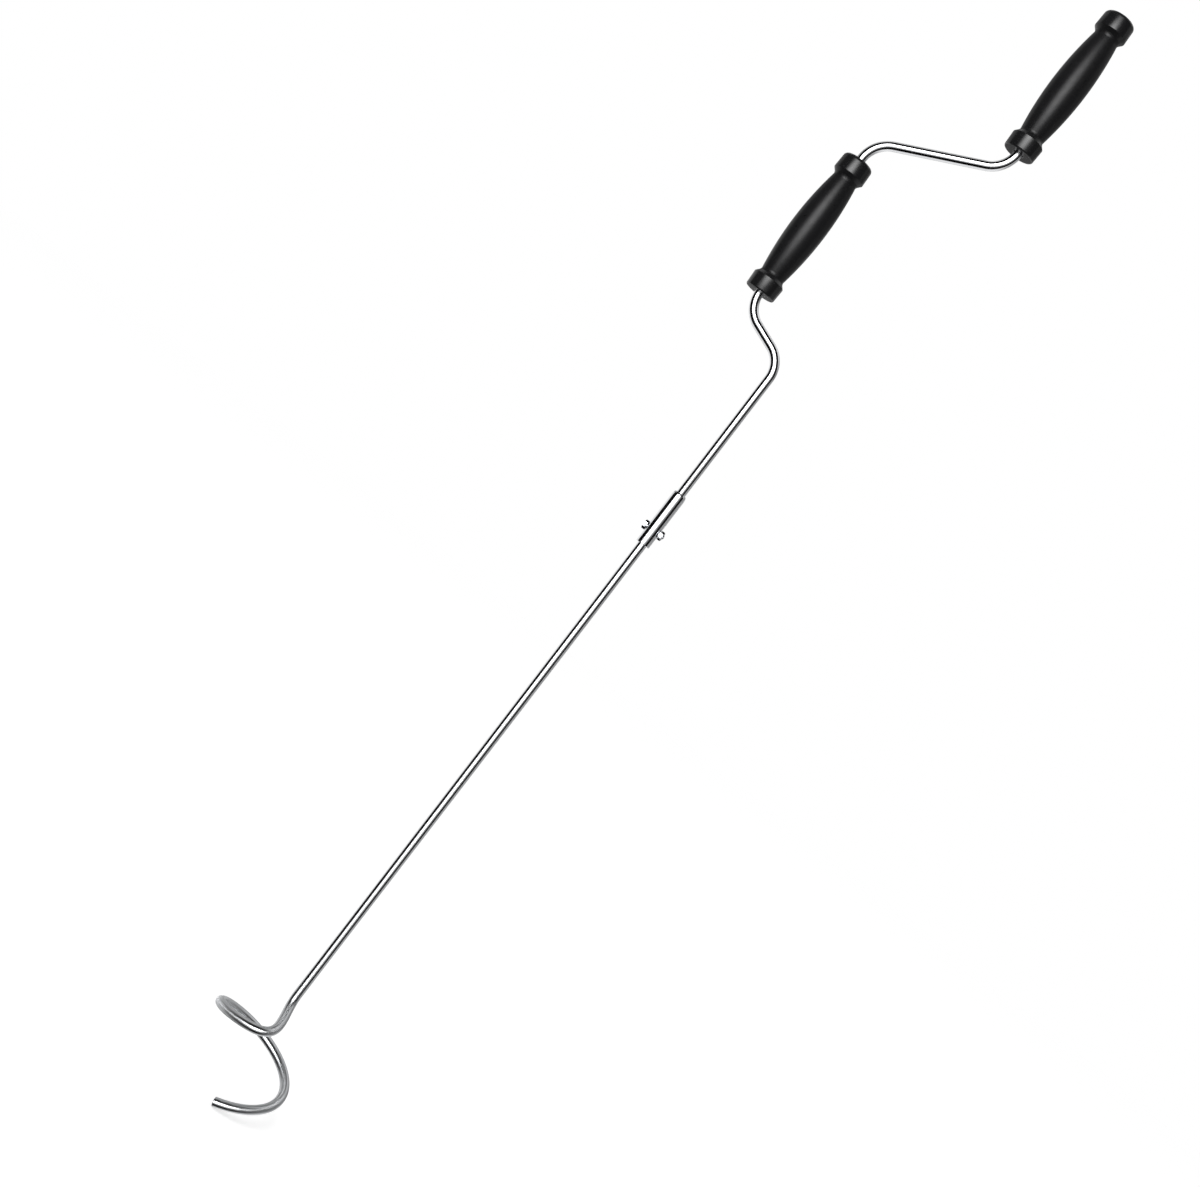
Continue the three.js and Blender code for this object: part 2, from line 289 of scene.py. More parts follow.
def extrude_round_corners(corners, bend_radius, bend_steps):
    """Takes the selected ring from corner to corner: straight runs, and a spin round each bend."""
    place = corners[0]
    for start, end, centre, axis, turn in bends(corners, bend_radius):
        extrude(start - place)
        bpy.ops.mesh.spin(steps=bend_steps, angle=-turn, axis=axis, center=centre)
        place = end
    extrude(corners[-1] - place)


def extrude_along(route):
    """Takes the selected ring along a route in small steps, turned square to it at each one."""
    heading = (route[1] - route[0]).normalized()
    for i in range(1, len(route)):
        extrude(route[i] - route[i - 1])
        onward = (route[min(i + 1, len(route) - 1)] - route[i - 1]).normalized()
        turn = heading.rotation_difference(onward).to_euler("XYZ")
        for axis, angle in zip("XYZ", turn):
            bpy.ops.transform.rotate(
                value=-angle, orient_axis=axis, center_override=route[i])
        heading = onward


def close_bar_ends(bevel):
    """Fills both open ends, bevels their rims and leaves edit mode."""
    bpy.ops.mesh.select_all(action="SELECT")
    bpy.ops.mesh.fill_holes(sides=0)
    face_outwards()
    bpy.ops.mesh.select_mode(type="FACE")
    bpy.ops.mesh.select_all(action="DESELECT")
    bpy.ops.mesh.select_face_by_sides(number=4, type="GREATER")
    bpy.ops.mesh.region_to_loop()
    bpy.ops.mesh.bevel(offset=bevel, segments=3, affect="EDGES")
    bpy.ops.object.mode_set(mode="OBJECT")


def turn_outline(name, outline, sides, axis=Vector()):
    """Draws an outline of (radius, level) points from one point by extrusion, and spins it
    about an upright axis."""
    places = [Vector((axis.x + radius, axis.y, level)) for radius, level in outline]
    piece = start_point(name, places[0])
    for before, after in zip(places, places[1:] + places[:1]):
        extrude(after - before)
    weld(WELD_REACH)
    bpy.ops.mesh.spin(
        steps=sides, angle=WHOLE_TURN, center=axis, axis=(0, 0, 1), use_auto_merge=True)
    weld(WELD_REACH)
    bpy.ops.mesh.delete_loose(use_verts=True, use_edges=True, use_faces=False)
    face_outwards()
    bpy.ops.object.mode_set(mode="OBJECT")
    return piece


def rounded(corners, steps=6):
    """An outline's corners, each given as (radius, level, rounding), with its rounding as an arc."""
    outline = []
    count = len(corners)
    for i, (radius, level, rounding) in enumerate(corners):
        if not rounding:
            outline.append((radius, level))
            continue
        corner = Vector((radius, level))
        back = (Vector(corners[i - 1][:2]) - corner).normalized()
        ahead = (Vector(corners[(i + 1) % count][:2]) - corner).normalized()
        half = back.angle(ahead) / 2
        centre = corner + (back + ahead).normalized() * rounding / math.sin(half)
        start = corner + back * rounding / math.tan(half) - centre
        end = corner + ahead * rounding / math.tan(half) - centre
        sweep = start.angle_signed(end)
        for step in range(steps + 1):
            arm = start.copy()
            arm.rotate(Matrix.Rotation(-sweep * step / steps, 2))
            outline.append(tuple(centre + arm))
    return outline


def apply_modifier(piece, kind, **settings):
    """Adds one modifier to a piece and applies it."""
    select_only(piece)
    modifier = piece.modifiers.new(kind.title(), kind)
    for name, value in settings.items():
        setattr(modifier, name, value)
    bpy.ops.object.modifier_apply(modifier=modifier.name)


def combine(piece, tool, operation):
    """Cuts, joins or trims a piece with another mesh, which is then removed."""
    apply_modifier(piece, "BOOLEAN", object=tool, operation=operation, solver="EXACT")
    bpy.data.objects.remove(tool)
    bpy.ops.object.mode_set(mode="EDIT")
    weld(CUT_WELD_REACH)
    bpy.ops.object.mode_set(mode="OBJECT")


def cross_cylinder(radius, start, end, sides, turn=0):
    """A cylinder along the bolt's axis, which is +X, as a mesh to cut or join with."""
    bpy.ops.object.select_all(action="DESELECT")
    bpy.ops.mesh.primitive_cylinder_add(vertices=sides, radius=radius, depth=end - start)
    cylinder = bpy.context.object
    middle = Matrix.Translation(((start + end) / 2, 0, BOLT_LEVEL))
    lie = Matrix.Rotation(turn, 4, "X") @ Matrix.Rotation(math.pi / 2, 4, "Y")
    cylinder.matrix_world = middle @ lie
    bpy.ops.object.transform_apply(location=True, rotation=True, scale=True)
    return cylinder


def drill_for_bolt(piece, reach):
    """Drills the bolt's hole across a piece, as far as reach on both sides of the shaft."""
    coupling = bpy.context.scene.aerator_coupling
    radius = coupling.bolt_radius + coupling.hole_clearance
    sides = 32
    combine(piece, cross_cylinder(radius, -reach, reach, sides), "DIFFERENCE")


def lay_along_bolt(piece):
    """Turns a piece that was modelled upright at the origin to lie along the bolt's axis."""
    select_only(piece)
    piece.rotation_euler = (0, math.pi / 2, 0)
    piece.location = (0, 0, BOLT_LEVEL)
    bpy.ops.object.transform_apply(location=True, rotation=True, scale=True)


def straight_run(start, end):
    """Places along a straight run of bar, a few millimetres apart, each with its direction."""
    spacing = 3 * MILLIMETRE
    onward = end - start
    steps = math.ceil(onward.length / spacing)
    return [(start + onward * step / steps, onward.normalized()) for step in range(steps + 1)]


def bent_run(corners, bend_radius):
    """Places along a bar that turns each corner on an arc, each with its direction."""
    steps = 24
    run = []
    place = corners[0]
    for start, end, centre, axis, turn in bends(corners, bend_radius):
        run += straight_run(place, start)
        arriving = run[-1][1]
        for step in range(1, steps):
            turned = Matrix.Rotation(turn * step / steps, 3, axis)
            run.append((centre + turned @ (start - centre), turned @ arriving))
        place = end
    return run + straight_run(place, corners[-1])


def lay_grinding_marks(piece, run):
    """Notes the bar's own direction on each face, square to which the grinding marks run. An
    end face looks along the bar, so its marks run any way across it."""
    end_facing = 0.9
    finder = KDTree(len(run))
    for i, (place, direction) in enumerate(run):
        finder.insert(place, i)
    finder.balance()
    marks = []
    for face in piece.data.polygons:
        direction = run[finder.find(face.center)[1]][1]
        if abs(direction.dot(face.normal)) > end_facing:
            direction = face.normal.orthogonal()
        marks += list(direction) * face.loop_total
    layer = piece.data.attributes.new("bar_direction", "FLOAT_VECTOR", "CORNER")
    layer.data.foreach_set("vector", marks)


def finish_piece(piece, node, body, slot, *finishes):
    """Shades a piece, gives it its finishes and has it stand for its node on the frame."""
    sharp_angle = math.radians(35)
    select_only(piece)
    bpy.ops.object.shade_smooth_by_angle(angle=sharp_angle)
    piece.data.materials.clear()
    for finish in finishes:
        piece.data.materials.append(bpy.data.materials.get(finish.__name__) or finish())
    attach(piece, body)
    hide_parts(node)


# Materials, each made once and named as its function is

def add_node(tree, kind, settings=None, values=None, links=None):
    """Adds a node with its settings, the values of its sockets, and the links into it. A link
    comes from a socket, or from the first output of a node."""
    node = tree.nodes.new("ShaderNode" + kind)
    for name, value in (settings or {}).items():
        setattr(node, name, value)
    for socket, value in (values or {}).items():
        node.inputs[socket].default_value = value
    for socket, source in (links or {}).items():
        output = source if isinstance(source, bpy.types.NodeSocket) else source.outputs[0]
        tree.links.new(output, node.inputs[socket])
    return node


def new_material(name):
    """An empty node material, its node tree and the piece's own coordinates."""
    material = bpy.data.materials.new(name)
    material.use_nodes = True
    tree = material.node_tree
    tree.nodes.clear()
    return material, tree, add_node(tree, "TexCoord").outputs["Object"]


def cover(tree, values, links):
    """Ends a material with the shader of its surface."""
    shader = add_node(tree, "BsdfPrincipled", values=values, links=links)
    add_node(tree, "OutputMaterial", links={"Surface": shader})


def mottle(tree, place, grain_mm, detail, low, high):
    """A pattern of grains about that many millimetres wide. Its usual range, which is from 0.3
    to 0.7, is spread between two values."""
    noise = add_node(
        tree, "TexNoise", links={"Vector": place},
        values={"Scale": 1 / (grain_mm * MILLIMETRE), "Detail": detail})
    return add_node(
        tree, "MapRange", links={"Value": noise},
        values={"From Min": 0.3, "From Max": 0.7, "To Min": low, "To Max": high})


def raised_grain(tree, place, grain_mm, detail, height_mm, strength):
    """The normals of a surface with raised grains of that width and height."""
    noise = add_node(
        tree, "TexNoise", links={"Vector": place},
        values={"Scale": 1 / (grain_mm * MILLIMETRE), "Detail": detail})
    return add_node(
        tree, "Bump", links={"Height": noise},
        values={"Distance": height_mm * MILLIMETRE, "Strength": strength})


def bright_chrome_plate():
    """Bright chrome on centreless-ground steel bar. The fine grinding marks run round the bar
    under the plate, so reflections stay crisp across it and are drawn out along it. Below the
    wear level the compost has scoured the plate to a duller, rougher steel. Its greyer colour
    there is partly that wear and partly painted shade, standing for darker reflections."""
    finish = bpy.context.scene.aerator_finish
    ragged_edge_width = 9 * MILLIMETRE
    wear_and_shade_fade = 30 * MILLIMETRE
    wear_roughness = 0.13
    material, tree, place = new_material("bright_chrome_plate")
    level = add_node(tree, "SeparateXYZ", links={0: place}).outputs["Z"]
    ragged_edge_noise = add_node(
        tree, "TexNoise", links={"Vector": place},
        values={"Scale": 1 / ragged_edge_width, "Detail": 4})
    ragged = add_node(
        tree, "Math", {"operation": "MULTIPLY_ADD"}, {1: -wear_and_shade_fade}, {0: ragged_edge_noise, 2: level})
    # The scoured zone below the wear level, with a ragged edge; it also carries the painted shade
    wear_and_shade = add_node(
        tree, "MapRange", links={"Value": ragged}, values={
            "From Min": finish.wear_level, "From Max": finish.wear_level - wear_and_shade_fade,
            "To Min": 0, "To Max": 1})
    # Painted shade: below the wear level the chrome takes the greyer colour
    colour = add_node(
        tree, "Mix", {"data_type": "RGBA"}, links={"Factor": wear_and_shade},
        values={"A": (*finish.chrome, 1), "B": (*finish.worn_chrome, 1)})
    handled = mottle(tree, place, grain_mm=7, detail=4, low=0.15, high=0.19)
    roughness = add_node(
        tree, "Math", {"operation": "MULTIPLY_ADD"}, {1: wear_roughness}, {0: wear_and_shade, 2: handled})
    direction = add_node(tree, "Attribute", {"attribute_name": "bar_direction"})
    cover(tree, {"Metallic": 1}, {
        "Base Color": colour.outputs["Result"],
        "Roughness": roughness,
        "Anisotropic": mottle(tree, place, grain_mm=4, detail=3, low=0.95, high=1),
        "Tangent": direction.outputs["Vector"],
    })
    return material


def bright_zinc_plate():
    """Barrel-plated bright zinc on cold-headed steel: softer than chrome, with the fine
    crystal mottle and tumbling marks that spread its highlights."""
    material, tree, place = new_material("bright_zinc_plate")
    colour = bpy.context.scene.aerator_finish.zinc
    cover(tree, {"Base Color": (*colour, 1), "Metallic": 1}, {
        "Roughness": mottle(tree, place, grain_mm=0.8, detail=5, low=0.08, high=0.15),
        "Normal": raised_grain(
            tree, place, grain_mm=0.35, detail=3, height_mm=0.006, strength=0.25),
    })
    return material


def moulded_polypropylene(name, grain_mm, grain_height_mm, smoothest, roughest, gloss):
    """Injection-moulded black polypropylene, whose grain comes from its steel mould. Its
    colour is a little uneven, as handled black plastic's is."""
    material, tree, place = new_material(name)
    colour = bpy.context.scene.aerator_finish.plastic
    patch_width = 14 * MILLIMETRE
    fading = 1.25
    faded = [channel * fading for channel in colour]
    patches = add_node(
        tree, "TexNoise", links={"Vector": place},
        values={"Scale": 1 / patch_width, "Detail": 3})
    tint = add_node(
        tree, "Mix", {"data_type": "RGBA"}, links={"Factor": patches},
        values={"A": (*colour, 1), "B": (*faded, 1)})
    cover(tree, {"IOR": 1.49, "Specular IOR Level": gloss}, {
        "Base Color": tint.outputs["Result"],
        "Roughness": mottle(tree, place, grain_mm=5, detail=4, low=smoothest, high=roughest),
        "Normal": raised_grain(
            tree, place, grain_mm, detail=2, height_mm=grain_height_mm, strength=0.35),
    })
    return material


def spark_eroded_polypropylene():
    """Spark-eroded mould face: a fine matt grain that spreads the barrel's highlight."""
    return moulded_polypropylene(
        "spark_eroded_polypropylene", grain_mm=0.45, grain_height_mm=0.02,
        smoothest=0.27, roughest=0.34, gloss=0.16)


def stone_polished_polypropylene():
    """Stone-polished mould face: smoother collars with a tighter, brighter highlight."""
    return moulded_polypropylene(
        "stone_polished_polypropylene", grain_mm=1.2, grain_height_mm=0.01,
        smoothest=0.2, roughest=0.25, gloss=0.3)


class AERATOR_OT_auger_rod(bpy.types.Operator):
    """Draws the lower bar down the shaft, through its run-out bend and round the corkscrew"""

    bl_idname = "aerator.auger_rod"
    bl_label = "Auger Bar"

    def execute(self, context):
        bar = context.scene.aerator_bar
        screw = context.scene.aerator_corkscrew
        top_level = bar.radius + screw.pitch * screw.turn / WHOLE_TURN
        head = Vector((0, 0, AUGER_HIGH.z))
        shaft_foot = Vector((0, 0, top_level + screw.run_out_rise))

        def winding(share):
            angle = screw.top_angle - screw.turn * share
            radius = screw.top_radius + (screw.tip_radius - screw.top_radius) * share
            level = top_level + (bar.radius - top_level) * share
            return Vector((radius * math.cos(angle), radius * math.sin(angle), level))

        start = winding(0)
        tangent_share = 0.001
        onward = (winding(tangent_share) - start).normalized()
        pulls = (
            shaft_foot,
            shaft_foot - Vector((0, 0, screw.shaft_pull)),
            start - onward * screw.coil_pull,
            start)

        def run_out(share):
            rest = 1 - share
            weights = (rest ** 3, 3 * rest ** 2 * share, 3 * rest * share ** 2, share ** 3)
            return sum((pull * weight for pull, weight in zip(pulls, weights)), Vector())

        steps = screw.run_out_steps
        route = [run_out(step / steps) for step in range(steps)]
        steps = screw.coil_steps
        route += [winding(step / steps) for step in range(steps + 1)]

        piece = start_ring("corkscrew_bar", head, bar.radius, bar.sides)
        levels = (head.z, BOLT_HIGH.z, BOLT_LOW.z, shaft_foot.z)
        for above, below in zip(levels, levels[1:]):
            extrude((0, 0, below - above))
        extrude_along(route)
        close_bar_ends(bar.end_bevel)
        drill_for_bolt(piece, 2 * bar.radius)
        onwards = route[1:] + [route[-1] * 2 - route[-2]]
        run = [(here, (there - here).normalized()) for here, there in zip(route, onwards)]
        lay_grinding_marks(piece, straight_run(head, shaft_foot) + run)
        finish_piece(piece, "auger_rod", "tool", "chromed_steel", bright_chrome_plate)
        return {"FINISHED"}


class AERATOR_OT_crank_rod(bpy.types.Operator):
    """Draws the upper bar up the stem and round the crank's four bends"""

    bl_idname = "aerator.crank_rod"
    bl_label = "Crank Bar"

    def execute(self, context):
        bar = context.scene.aerator_bar
        crank = context.scene.aerator_crank
        rise = CRANK_THROW * math.tan(crank.arm_slope)
        reach = crank.bend_radius * math.tan((math.pi / 2 - crank.arm_slope) / 2)
        lower_level = SLEEVE_HIGH.z + crank.stem
        upper_level = LOWER_GRIP_HIGH.z + crank.grip_end_play + reach
        corners = [
            Vector((0, 0, CRANK_LOW.z)),
            Vector((0, 0, lower_level)),
            Vector((-CRANK_THROW, 0, lower_level + rise)),
            Vector((-CRANK_THROW, 0, upper_level)),
            Vector((CRANK_THROW, 0, upper_level + 2 * rise)),
            Vector((CRANK_THROW, 0, CRANK_HIGH.z)),
        ]
        piece = start_ring("crank_bar", corners[0], bar.radius, bar.sides)
        extrude_round_corners(corners, crank.bend_radius, bar.bend_steps)
        close_bar_ends(bar.end_bevel)
        lay_grinding_marks(piece, bent_run(corners, crank.bend_radius))
        finish_piece(piece, "crank_rod", "tool", "chromed_steel", bright_chrome_plate)
        return {"FINISHED"}


class AERATOR_OT_coupling_sleeve(bpy.types.Operator):
    """Turns the sleeve with its swaged head and drills it for the bolt"""

    bl_idname = "aerator.coupling_sleeve"
    bl_label = "Coupling Sleeve"

    def execute(self, context):
        coupling = context.scene.aerator_coupling
        bore = coupling.bore_radius
        outer = SLEEVE_HIGH.x
        foot = SLEEVE_LOW.z
        head = SLEEVE_HIGH.z
        neck = head - coupling.neck_length
        lip = bore + coupling.lip_wall
        corners = [
            (bore, head, coupling.lip_wall / 4),
            (bore, BOLT_HIGH.z, 0),
            (bore, BOLT_LOW.z, 0),
            (bore, foot, coupling.mouth_round),
            (outer, foot, coupling.mouth_round),
            (outer, BOLT_LOW.z, 0),
            (outer, BOLT_HIGH.z, 0),
            (outer, neck, coupling.neck_length / 3),
            (lip + coupling.lip_fall, head - coupling.lip_height, coupling.lip_height / 3),
            (lip, head, coupling.lip_wall / 4),
        ]
        piece = turn_outline("swaged_sleeve", rounded(corners), FITTING_SIDES)
        drill_for_bolt(piece, 2 * outer)
        lay_grinding_marks(piece, straight_run(Vector(SLEEVE_LOW), Vector(SLEEVE_HIGH)))
        finish_piece(piece, "coupling_sleeve", "tool", "chromed_steel", bright_chrome_plate)
        return {"FINISHED"}


def hexagon(name, start, end, chamfer_start, chamfer_end):
    """A hexagon along the bolt's axis, a flat to the front, with rounded edges. A turned cone
    trims its corners at each end that is chamfered, and clears each end that isn't."""
    flat = bpy.context.scene.aerator_coupling.across_flats / 2
    edge_round = 0.15 * MILLIMETRE
    chamfer = math.radians(30)
    overrun = 0.2 * MILLIMETRE
    cone_sides = 96
    sides = 6
    half_side = math.pi / sides
    piece = cross_cylinder(flat / math.cos(half_side), start, end, sides, half_side)
    piece.name = name
    piece.data.name = name
    bpy.ops.object.mode_set(mode="EDIT")
    bpy.ops.mesh.select_all(action="DESELECT")
    bpy.ops.mesh.select_mode(type="FACE")
    bpy.ops.mesh.select_face_by_sides(number=4, type="EQUAL")
    bpy.ops.mesh.region_to_loop()
    bpy.ops.mesh.select_all(action="INVERT")
    bpy.ops.mesh.bevel(offset=edge_round, segments=3, affect="EDGES")
    bpy.ops.object.mode_set(mode="OBJECT")
    wide = 2 * flat
    fall = (wide - flat) * math.tan(chamfer)

    def cone_end(level, chamfered, outward):
        if chamfered:
            return [(0, level), (flat, level), (wide, level - outward * fall)]
        past = level + outward * overrun
        return [(0, past), (wide, past), (wide, level)]

    outline = cone_end(start, chamfer_start, -1) + cone_end(end, chamfer_end, 1)[::-1]
    cone = turn_outline("chamfer_cone", outline, cone_sides)
    lay_along_bolt(cone)
    combine(piece, cone, "INTERSECT")
    return piece


def threaded_shank(start, end):
    """A shank along the bolt's axis, plain under the head and with a true thread at its end.
    The thread is drawn with spare turns: the plain shank covers those at its start, and the
    chamfered point trims those past its end."""
    coupling = bpy.context.scene.aerator_coupling
    pitch = coupling.thread_pitch
    thread_depth = 0.61 * pitch
    thread_sides = 36
    spare_turns = 2
    crest = coupling.bolt_radius
    tip = crest - CREST_GAP
    root = crest - thread_depth
    thread_start = end - coupling.thread_length
    plain_end = thread_start + spare_turns * pitch
    first = thread_start - spare_turns * pitch
    ridge_shares = [(root, 0), (tip, 0.38), (tip, 0.5), (root, 0.88), (root, 1)]
    places = [Vector((radius, 0, first + share * pitch)) for radius, share in ridge_shares]
    thread = start_point("bolt_thread", places[0])
    for before, after in zip(places, places[1:]):
        extrude(after - before)
    bpy.ops.object.mode_set(mode="OBJECT")
    apply_modifier(
        thread, "SCREW", axis="Z", angle=WHOLE_TURN, screw_offset=pitch,
        iterations=math.ceil(coupling.thread_length / pitch) + 2 * spare_turns,
        steps=thread_sides, render_steps=thread_sides,
        use_merge_vertices=True, merge_threshold=WELD_REACH)
    bpy.ops.object.mode_set(mode="EDIT")
    weld(WELD_REACH)
    bpy.ops.mesh.fill_holes(sides=0)
    face_outwards()
    bpy.ops.object.mode_set(mode="OBJECT")
    plain = turn_outline(
        "bolt_shank",
        [(0, start), (crest, start), (crest, thread_start), (root / 2, plain_end), (0, plain_end)],
        SHANK_SIDES)
    combine(thread, plain, "UNION")
    point_radius = 0.93 * root
    point_sides = 56
    point = turn_outline(
        "shank_chamfer",
        [(0, start - pitch), (2 * crest, start - pitch), (2 * crest, end - crest),
         (point_radius, end), (0, end)],
        point_sides)
    combine(thread, point, "INTERSECT")
    lay_along_bolt(thread)
    return thread


class AERATOR_OT_coupling_bolt(bpy.types.Operator):
    """Makes the hex bolt across the sleeve and its nut"""

    bl_idname = "aerator.coupling_bolt"
    bl_label = "Coupling Bolt and Nut"

    def execute(self, context):
        coupling = context.scene.aerator_coupling
        seat = BOLT_LOW.x + coupling.head_height
        bolt = hexagon("hex_bolt", BOLT_LOW.x, seat, True, False)
        shank = threaded_shank(seat - coupling.head_height / 2, BOLT_HIGH.x)
        combine(bolt, shank, "UNION")
        finish_piece(bolt, "coupling_bolt", "tool", "zinc_plated_steel", bright_zinc_plate)

        nut = hexagon("hex_nut", NUT_LOW.x, NUT_HIGH.x, True, True)
        bore = coupling.bolt_radius + CREST_GAP
        sink_depth = 0.3 * MILLIMETRE
        flare = 1.3 * MILLIMETRE
        foot = NUT_LOW.x + sink_depth
        head = NUT_HIGH.x - sink_depth
        drill = turn_outline("nut_bore", [
            (0, foot - flare),
            (bore + flare, foot - flare),
            (bore, foot),
            (bore, head),
            (bore + flare, head + flare),
            (0, head + flare),
        ], SHANK_SIDES)
        lay_along_bolt(drill)
        combine(nut, drill, "DIFFERENCE")
        finish_piece(nut, "coupling_nut", "tool", "zinc_plated_steel", bright_zinc_plate)
        return {"FINISHED"}


def grip_outline(grip, foot, head, belly_radius):
    """A barrel between two drafted collars, bored through, with a pocket in its head."""
    rim = grip.collar_radius - grip.collar_draft
    foot_edge = foot + grip.foot_collar
    head_edge = head - grip.head_collar
    foot_neck = foot_edge + grip.shoulder
    head_neck = head_edge - grip.shoulder
    middle = (foot_neck + head_neck) / 2
    half = middle - foot_neck
    rise = belly_radius - grip.neck_radius
    arc = (half ** 2 + rise ** 2) / (2 * rise)
    belly_steps = 56
    belly = []
    for step in range(1, belly_steps):
        along = half * (2 * step / belly_steps - 1)
        belly.append((belly_radius - arc + math.sqrt(arc ** 2 - along ** 2), middle + along, 0))
    floor = head - grip.pocket_depth
    mouth = grip.bore_mouth
    return rounded([
        (grip.bore_radius, floor, mouth / 4),
        (grip.bore_radius, foot + mouth, mouth / 4),
        (grip.bore_radius + mouth, foot, mouth / 4),
        (rim, foot, grip.foot_round),
        (grip.collar_radius, foot_edge, grip.edge_round),
        (grip.neck_radius + grip.neck_fillet, foot_neck, grip.neck_fillet / 2),
        *belly,
        (grip.neck_radius + grip.neck_fillet, head_neck, grip.neck_fillet / 2),
        (grip.collar_radius, head_edge, grip.edge_round),
        (rim, head, grip.head_round),
        (grip.pocket_radius, head, mouth / 2),
        (grip.pocket_radius, floor, mouth / 2),
    ])


class AERATOR_OT_grips(bpy.types.Operator):
    """Moulds the grip once and puts a copy on each of the crank's two places"""

    bl_idname = "aerator.grips"
    bl_label = "Grips"

    def execute(self, context):
        grip = context.scene.aerator_grip
        foot = LOWER_GRIP_LOW.z
        head = LOWER_GRIP_HIGH.z
        lift = UPPER_GRIP_LOW.z - foot
        belly_radius = LOWER_GRIP_HIGH.x + CRANK_THROW
        outline = grip_outline(grip, foot, head, belly_radius)
        lower = turn_outline(
            "lower_grip_moulding", outline, grip.sides, Vector((-CRANK_THROW, 0, 0)))
        select_only(lower)
        bpy.ops.object.duplicate(linked=False)
        upper = bpy.context.object
        upper.name = "upper_grip_moulding"
        upper.data.name = upper.name
        upper.location = (2 * CRANK_THROW, 0, lift)
        bpy.ops.object.transform_apply(location=True, rotation=True, scale=True)
        for piece, node, raised in ((lower, "lower_grip", 0), (upper, "upper_grip", lift)):
            finish_piece(
                piece, node, node, "grip_plastic",
                spark_eroded_polypropylene, stone_polished_polypropylene)
            barrel_foot = foot + raised + grip.foot_collar
            barrel_head = head + raised - grip.head_collar
            for face in piece.data.polygons:
                on_barrel = barrel_foot < face.center.z < barrel_head
                face.material_index = 0 if on_barrel else 1
        return {"FINISHED"}


class AERATOR_OT_retainer(bpy.types.Operator):
    """Makes the washer and the push-on cap that hold the upper grip on its bar"""

    bl_idname = "aerator.retainer"
    bl_label = "Washer and Push Cap"

    def execute(self, context):
        retainer = context.scene.aerator_retainer
        axis = Vector((CRANK_THROW, 0, 0))
        bore = retainer.bore_radius
        edge = 0.15 * MILLIMETRE
        outer = WASHER_HIGH.x - CRANK_THROW
        washer = turn_outline("flat_washer", rounded([
            (bore, WASHER_HIGH.z, edge),
            (bore, WASHER_LOW.z, edge),
            (outer, WASHER_LOW.z, edge),
            (outer, WASHER_HIGH.z, edge),
        ]), FITTING_SIDES, axis)
        finish_piece(washer, "thrust_washer", "tool", "zinc_plated_steel", bright_zinc_plate)
        outer = CAP_HIGH.x - CRANK_THROW
        roof = CAP_HIGH.z - retainer.cap_roof
        cap = turn_outline("axle_cap", rounded([
            (0, roof, 0),
            (bore, roof, edge),
            (bore, CAP_LOW.z, edge),
            (outer, CAP_LOW.z, edge),
            (outer, CAP_HIGH.z, retainer.cap_round),
            (0, CAP_HIGH.z, 0),
        ], steps=10), FITTING_SIDES, axis)
        finish_piece(cap, "push_cap", "tool", "zinc_plated_steel", bright_zinc_plate)
        return {"FINISHED"}


def camera_axes(stage):
    """The camera's level right, its up and its back direction, before it is rolled."""
    across = math.cos(stage.elevation)
    back = Vector((
        math.sin(stage.azimuth) * across, -math.cos(stage.azimuth) * across,
        math.sin(stage.elevation)))
    right = Vector((math.cos(stage.azimuth), math.sin(stage.azimuth), 0))
    return right, back.cross(right), back


def place_camera(stage):
    """Adds the camera, rolled so that the tool leans over in the picture."""
    sensor_width_mm = 36
    right, up, back = camera_axes(stage)
    place = right * stage.aim_side + Vector((0, 0, stage.aim_level)) + back * stage.distance
    rolled_right = right * math.cos(stage.roll) - up * math.sin(stage.roll)
    rolled_up = right * math.sin(stage.roll) + up * math.cos(stage.roll)
    bpy.ops.object.camera_add()
    camera = bpy.context.object
    camera.name = "photo_camera"
    camera.data.sensor_width = sensor_width_mm
    camera.data.lens = stage.lens
    camera.matrix_world = Matrix((
        (rolled_right.x, rolled_up.x, back.x, place.x),
        (rolled_right.y, rolled_up.y, back.y, place.y),
        (rolled_right.z, rolled_up.z, back.z, place.z),
        (0, 0, 0, 1)))
    bpy.context.scene.camera = camera


def turned_by(degrees, axis, arm):
    """A direction turned about an axis."""
    return Matrix.Rotation(math.radians(degrees), 3, axis) @ arm


def ring(tree, direction, axis, *stops):
    """A brightness that follows the angle from an axis, between stops of (degrees, level)."""
    cosine = add_node(tree, "VectorMath", {"operation": "DOT_PRODUCT"}, {1: axis}, {0: direction})
    angle = add_node(tree, "Math", {"operation": "ARCCOSINE"}, links={0: cosine.outputs["Value"]})
    share = add_node(tree, "Math", {"operation": "DIVIDE"}, {1: math.pi}, {0: angle})
    ramp = add_node(tree, "ValToRGB", links={"Fac": share})
    elements = ramp.color_ramp.elements
    while len(elements) < len(stops):
        elements.new(1)
    for element, (degrees, level) in zip(elements, stops):
        element.position = math.radians(degrees) / math.pi
        element.color = (level, level, level, 1)
    return ramp


